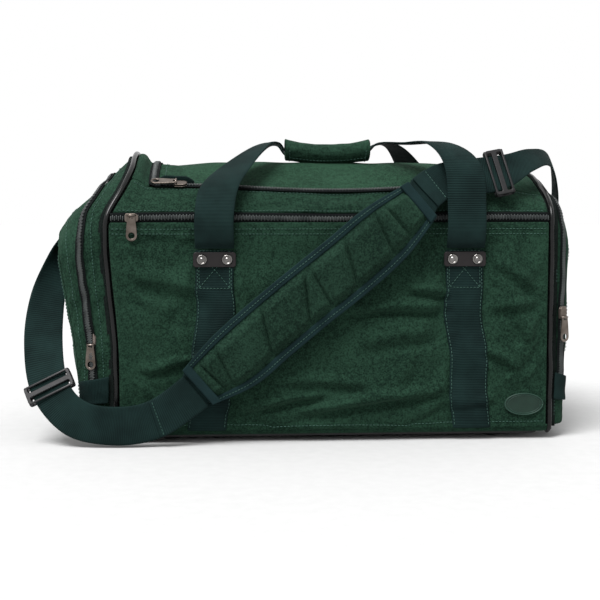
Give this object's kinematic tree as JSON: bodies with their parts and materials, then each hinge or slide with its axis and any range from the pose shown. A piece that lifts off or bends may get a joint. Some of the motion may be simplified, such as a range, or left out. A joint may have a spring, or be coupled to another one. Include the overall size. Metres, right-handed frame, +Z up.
{
  "type": "rolling duffel bag",
  "caption": "Green canvas travel duffel on recessed wheels, with end pockets, a flat front pocket, a zipped top flap, webbing handles and a padded shoulder strap.",
  "frame": {"origin": "on the ground, under the middle of the whole bag with its strap", "axes": "+X to the right end as seen from the front, +Y to the back, +Z up; the front faces -Y"},
  "size_m": [0.726, 0.359, 0.3921],
  "materials": {
    "canvas_green": "woven polyester canvas, matte",
    "webbing_teal": "ribbed polypropylene webbing",
    "lining": "coated lining over board",
    "zip_tape": "woven zipper tape with nylon coil",
    "pad_canvas": "quilted canvas with bound edge",
    "grip_canvas": "canvas wrap",
    "piping_vinyl": "glossy vinyl piping",
    "rail_plastic": "moulded black plastic",
    "hardware_plastic": "moulded black plastic",
    "rivet_plate": "black plate with bright rivets",
    "wheel_grey": "dark grey wheel",
    "zip_metal": "antique nickel",
    "badge_rubber": "blank moulded badge"
  },
  "bodies": {
    "bag": {"back_panel": "canvas_green", "badge": "badge_rubber", "base_board": "lining", "base_panel": "canvas_green", "end_pocket_left_cover": "canvas_green", "end_pocket_left_floor": "canvas_green", "end_pocket_left_gusset": "canvas_green", "end_pocket_left_zip": "zip_tape", "end_pocket_right_cover": "canvas_green", "end_pocket_right_floor": "canvas_green", "end_pocket_right_gusset": "canvas_green", "end_pocket_right_zip": "zip_tape", "end_wall_left": "lining", "end_wall_right": "lining", "front_panel": "canvas_green", "front_pocket_panel": "canvas_green", "front_pocket_zip": "zip_tape", "handle_plate_front_left": "rivet_plate", "handle_plate_front_right": "rivet_plate", "handle_plate_rear_left": "rivet_plate", "handle_plate_rear_right": "rivet_plate", "leg_webbing_front_left": "webbing_teal", "leg_webbing_front_right": "webbing_teal", "leg_webbing_rear_left": "webbing_teal", "leg_webbing_rear_right": "webbing_teal", "main_zip": "zip_tape", "piping_left": "piping_vinyl", "piping_right": "piping_vinyl", "ring_tab_left": "webbing_teal", "ring_tab_right": "webbing_teal", "shoulder_pad": "pad_canvas", "strap_lower": "webbing_teal", "strap_ring_left": "hardware_plastic", "strap_ring_right": "hardware_plastic", "strap_upper": "webbing_teal", "top_panel": "canvas_green", "wheel_rail_front": "rail_plastic", "wheel_rail_rear": "rail_plastic"},
    "wheel_front_1": {"wheel_front_1": "wheel_grey"},
    "wheel_front_2": {"wheel_front_2": "wheel_grey"},
    "wheel_front_3": {"wheel_front_3": "wheel_grey"},
    "wheel_rear_1": {"wheel_rear_1": "wheel_grey"},
    "wheel_rear_2": {"wheel_rear_2": "wheel_grey"},
    "wheel_rear_3": {"wheel_rear_3": "wheel_grey"},
    "front_handle": {"handle_front": "webbing_teal", "grip_wrap": "grip_canvas"},
    "rear_handle": {"handle_rear": "webbing_teal"},
    "flap": {"top_flap": "canvas_green"},
    "front_pocket_slider": {"slider_front_pocket": "zip_metal"},
    "front_pocket_puller": {"puller_front_pocket": "zip_metal"},
    "end_pocket_left_slider": {"slider_end_pocket_left": "zip_metal"},
    "end_pocket_left_puller": {"puller_end_pocket_left": "zip_metal"},
    "end_pocket_right_slider": {"slider_end_pocket_right": "zip_metal"},
    "end_pocket_right_puller": {"puller_end_pocket_right": "zip_metal"},
    "main_slider": {"slider_main": "zip_metal"},
    "main_puller": {"puller_main": "zip_metal"},
    "strap_slide_lower": {"strap_slide_lower": "hardware_plastic"},
    "strap_slide_upper": {"strap_slide_upper": "hardware_plastic"}
  },
  "joints": [
    {"name": "wheel_front_1_spin", "type": "hinge", "parent": "bag", "child": "wheel_front_1", "pos_m": [-0.17262, -0.11023, 0.04], "axis": [0, 1, 0], "continuous": true},
    {"name": "wheel_front_2_spin", "type": "hinge", "parent": "bag", "child": "wheel_front_2", "pos_m": [0.03938, -0.11023, 0.04], "axis": [0, 1, 0], "continuous": true},
    {"name": "wheel_front_3_spin", "type": "hinge", "parent": "bag", "child": "wheel_front_3", "pos_m": [0.25138, -0.11023, 0.04], "axis": [0, 1, 0], "continuous": true},
    {"name": "wheel_rear_1_spin", "type": "hinge", "parent": "bag", "child": "wheel_rear_1", "pos_m": [-0.17262, 0.12577, 0.04], "axis": [0, 1, 0], "continuous": true},
    {"name": "wheel_rear_2_spin", "type": "hinge", "parent": "bag", "child": "wheel_rear_2", "pos_m": [0.03938, 0.12577, 0.04], "axis": [0, 1, 0], "continuous": true},
    {"name": "wheel_rear_3_spin", "type": "hinge", "parent": "bag", "child": "wheel_rear_3", "pos_m": [0.25138, 0.12577, 0.04], "axis": [0, 1, 0], "continuous": true},
    {"name": "front_handle_swing", "type": "hinge", "parent": "bag", "child": "front_handle", "pos_m": [0.03938, -0.15273, 0.25], "axis": [1, 0, 0], "range_deg": [0, 115]},
    {"name": "rear_handle_swing", "type": "hinge", "parent": "bag", "child": "rear_handle", "pos_m": [0.03938, 0.16827, 0.25], "axis": [-1, 0, 0], "range_deg": [0, 115]},
    {"name": "top_flap_open", "type": "hinge", "parent": "bag", "child": "flap", "pos_m": [0.03938, 0.11392, 0.333], "axis": [-1, 0, 0], "range_deg": [0, 75]},
    {"name": "front_pocket_zip_slide", "type": "slide", "parent": "bag", "child": "front_pocket_slider", "axis": [1, 0, 0], "range_m": [0, 0.5]},
    {"name": "front_pocket_puller_swing", "type": "hinge", "parent": "front_pocket_slider", "child": "front_pocket_puller", "pos_m": [-0.21862, -0.15193, 0.2916], "axis": [-1, 0, 0], "range_deg": [0, 90]},
    {"name": "end_pocket_left_zip_slide", "type": "slide", "parent": "bag", "child": "end_pocket_left_slider", "axis": [-0.0322, 0, 0.9995], "range_m": [-0.02, 0.05]},
    {"name": "end_pocket_left_puller_swing", "type": "hinge", "parent": "end_pocket_left_slider", "child": "end_pocket_left_puller", "pos_m": [-0.27313, -0.13963, 0.127], "axis": [-0.9494, 0.3142, 0], "range_deg": [0, 90]},
    {"name": "end_pocket_right_zip_slide", "type": "slide", "parent": "bag", "child": "end_pocket_right_slider", "axis": [0.0091, 0, 1], "range_m": [-0.055, 0.06]},
    {"name": "end_pocket_right_puller_swing", "type": "hinge", "parent": "end_pocket_right_slider", "child": "end_pocket_right_puller", "pos_m": [0.33904, -0.142, 0.159], "axis": [-0.8857, -0.4643, 0], "range_deg": [0, 90]},
    {"name": "main_zip_slide", "type": "slide", "parent": "bag", "child": "main_slider", "axis": [1, 0, 0], "range_m": [0, 0.3]},
    {"name": "main_puller_swing", "type": "hinge", "parent": "main_slider", "child": "main_puller", "pos_m": [-0.16462, -0.11047, 0.33559], "axis": [0, 0.8829, 0.4695], "range_deg": [0, 90]},
    {"name": "strap_slide_lower_move", "type": "slide", "parent": "bag", "child": "strap_slide_lower", "axis": [0.4083, -0.4924, -0.7687], "range_m": [-0.001, 0.003]},
    {"name": "strap_slide_upper_move", "type": "slide", "parent": "bag", "child": "strap_slide_upper", "axis": [0.978, 0.0913, 0.1877], "range_m": [-0.006, 0.003]}
  ],
  "couplings": [
    {"joint": "rear_handle_swing", "follows": "front_handle_swing", "ratio": 1},
    {"joint": "top_flap_open", "follows": "front_handle_swing", "ratio": 0.65}
  ]
}
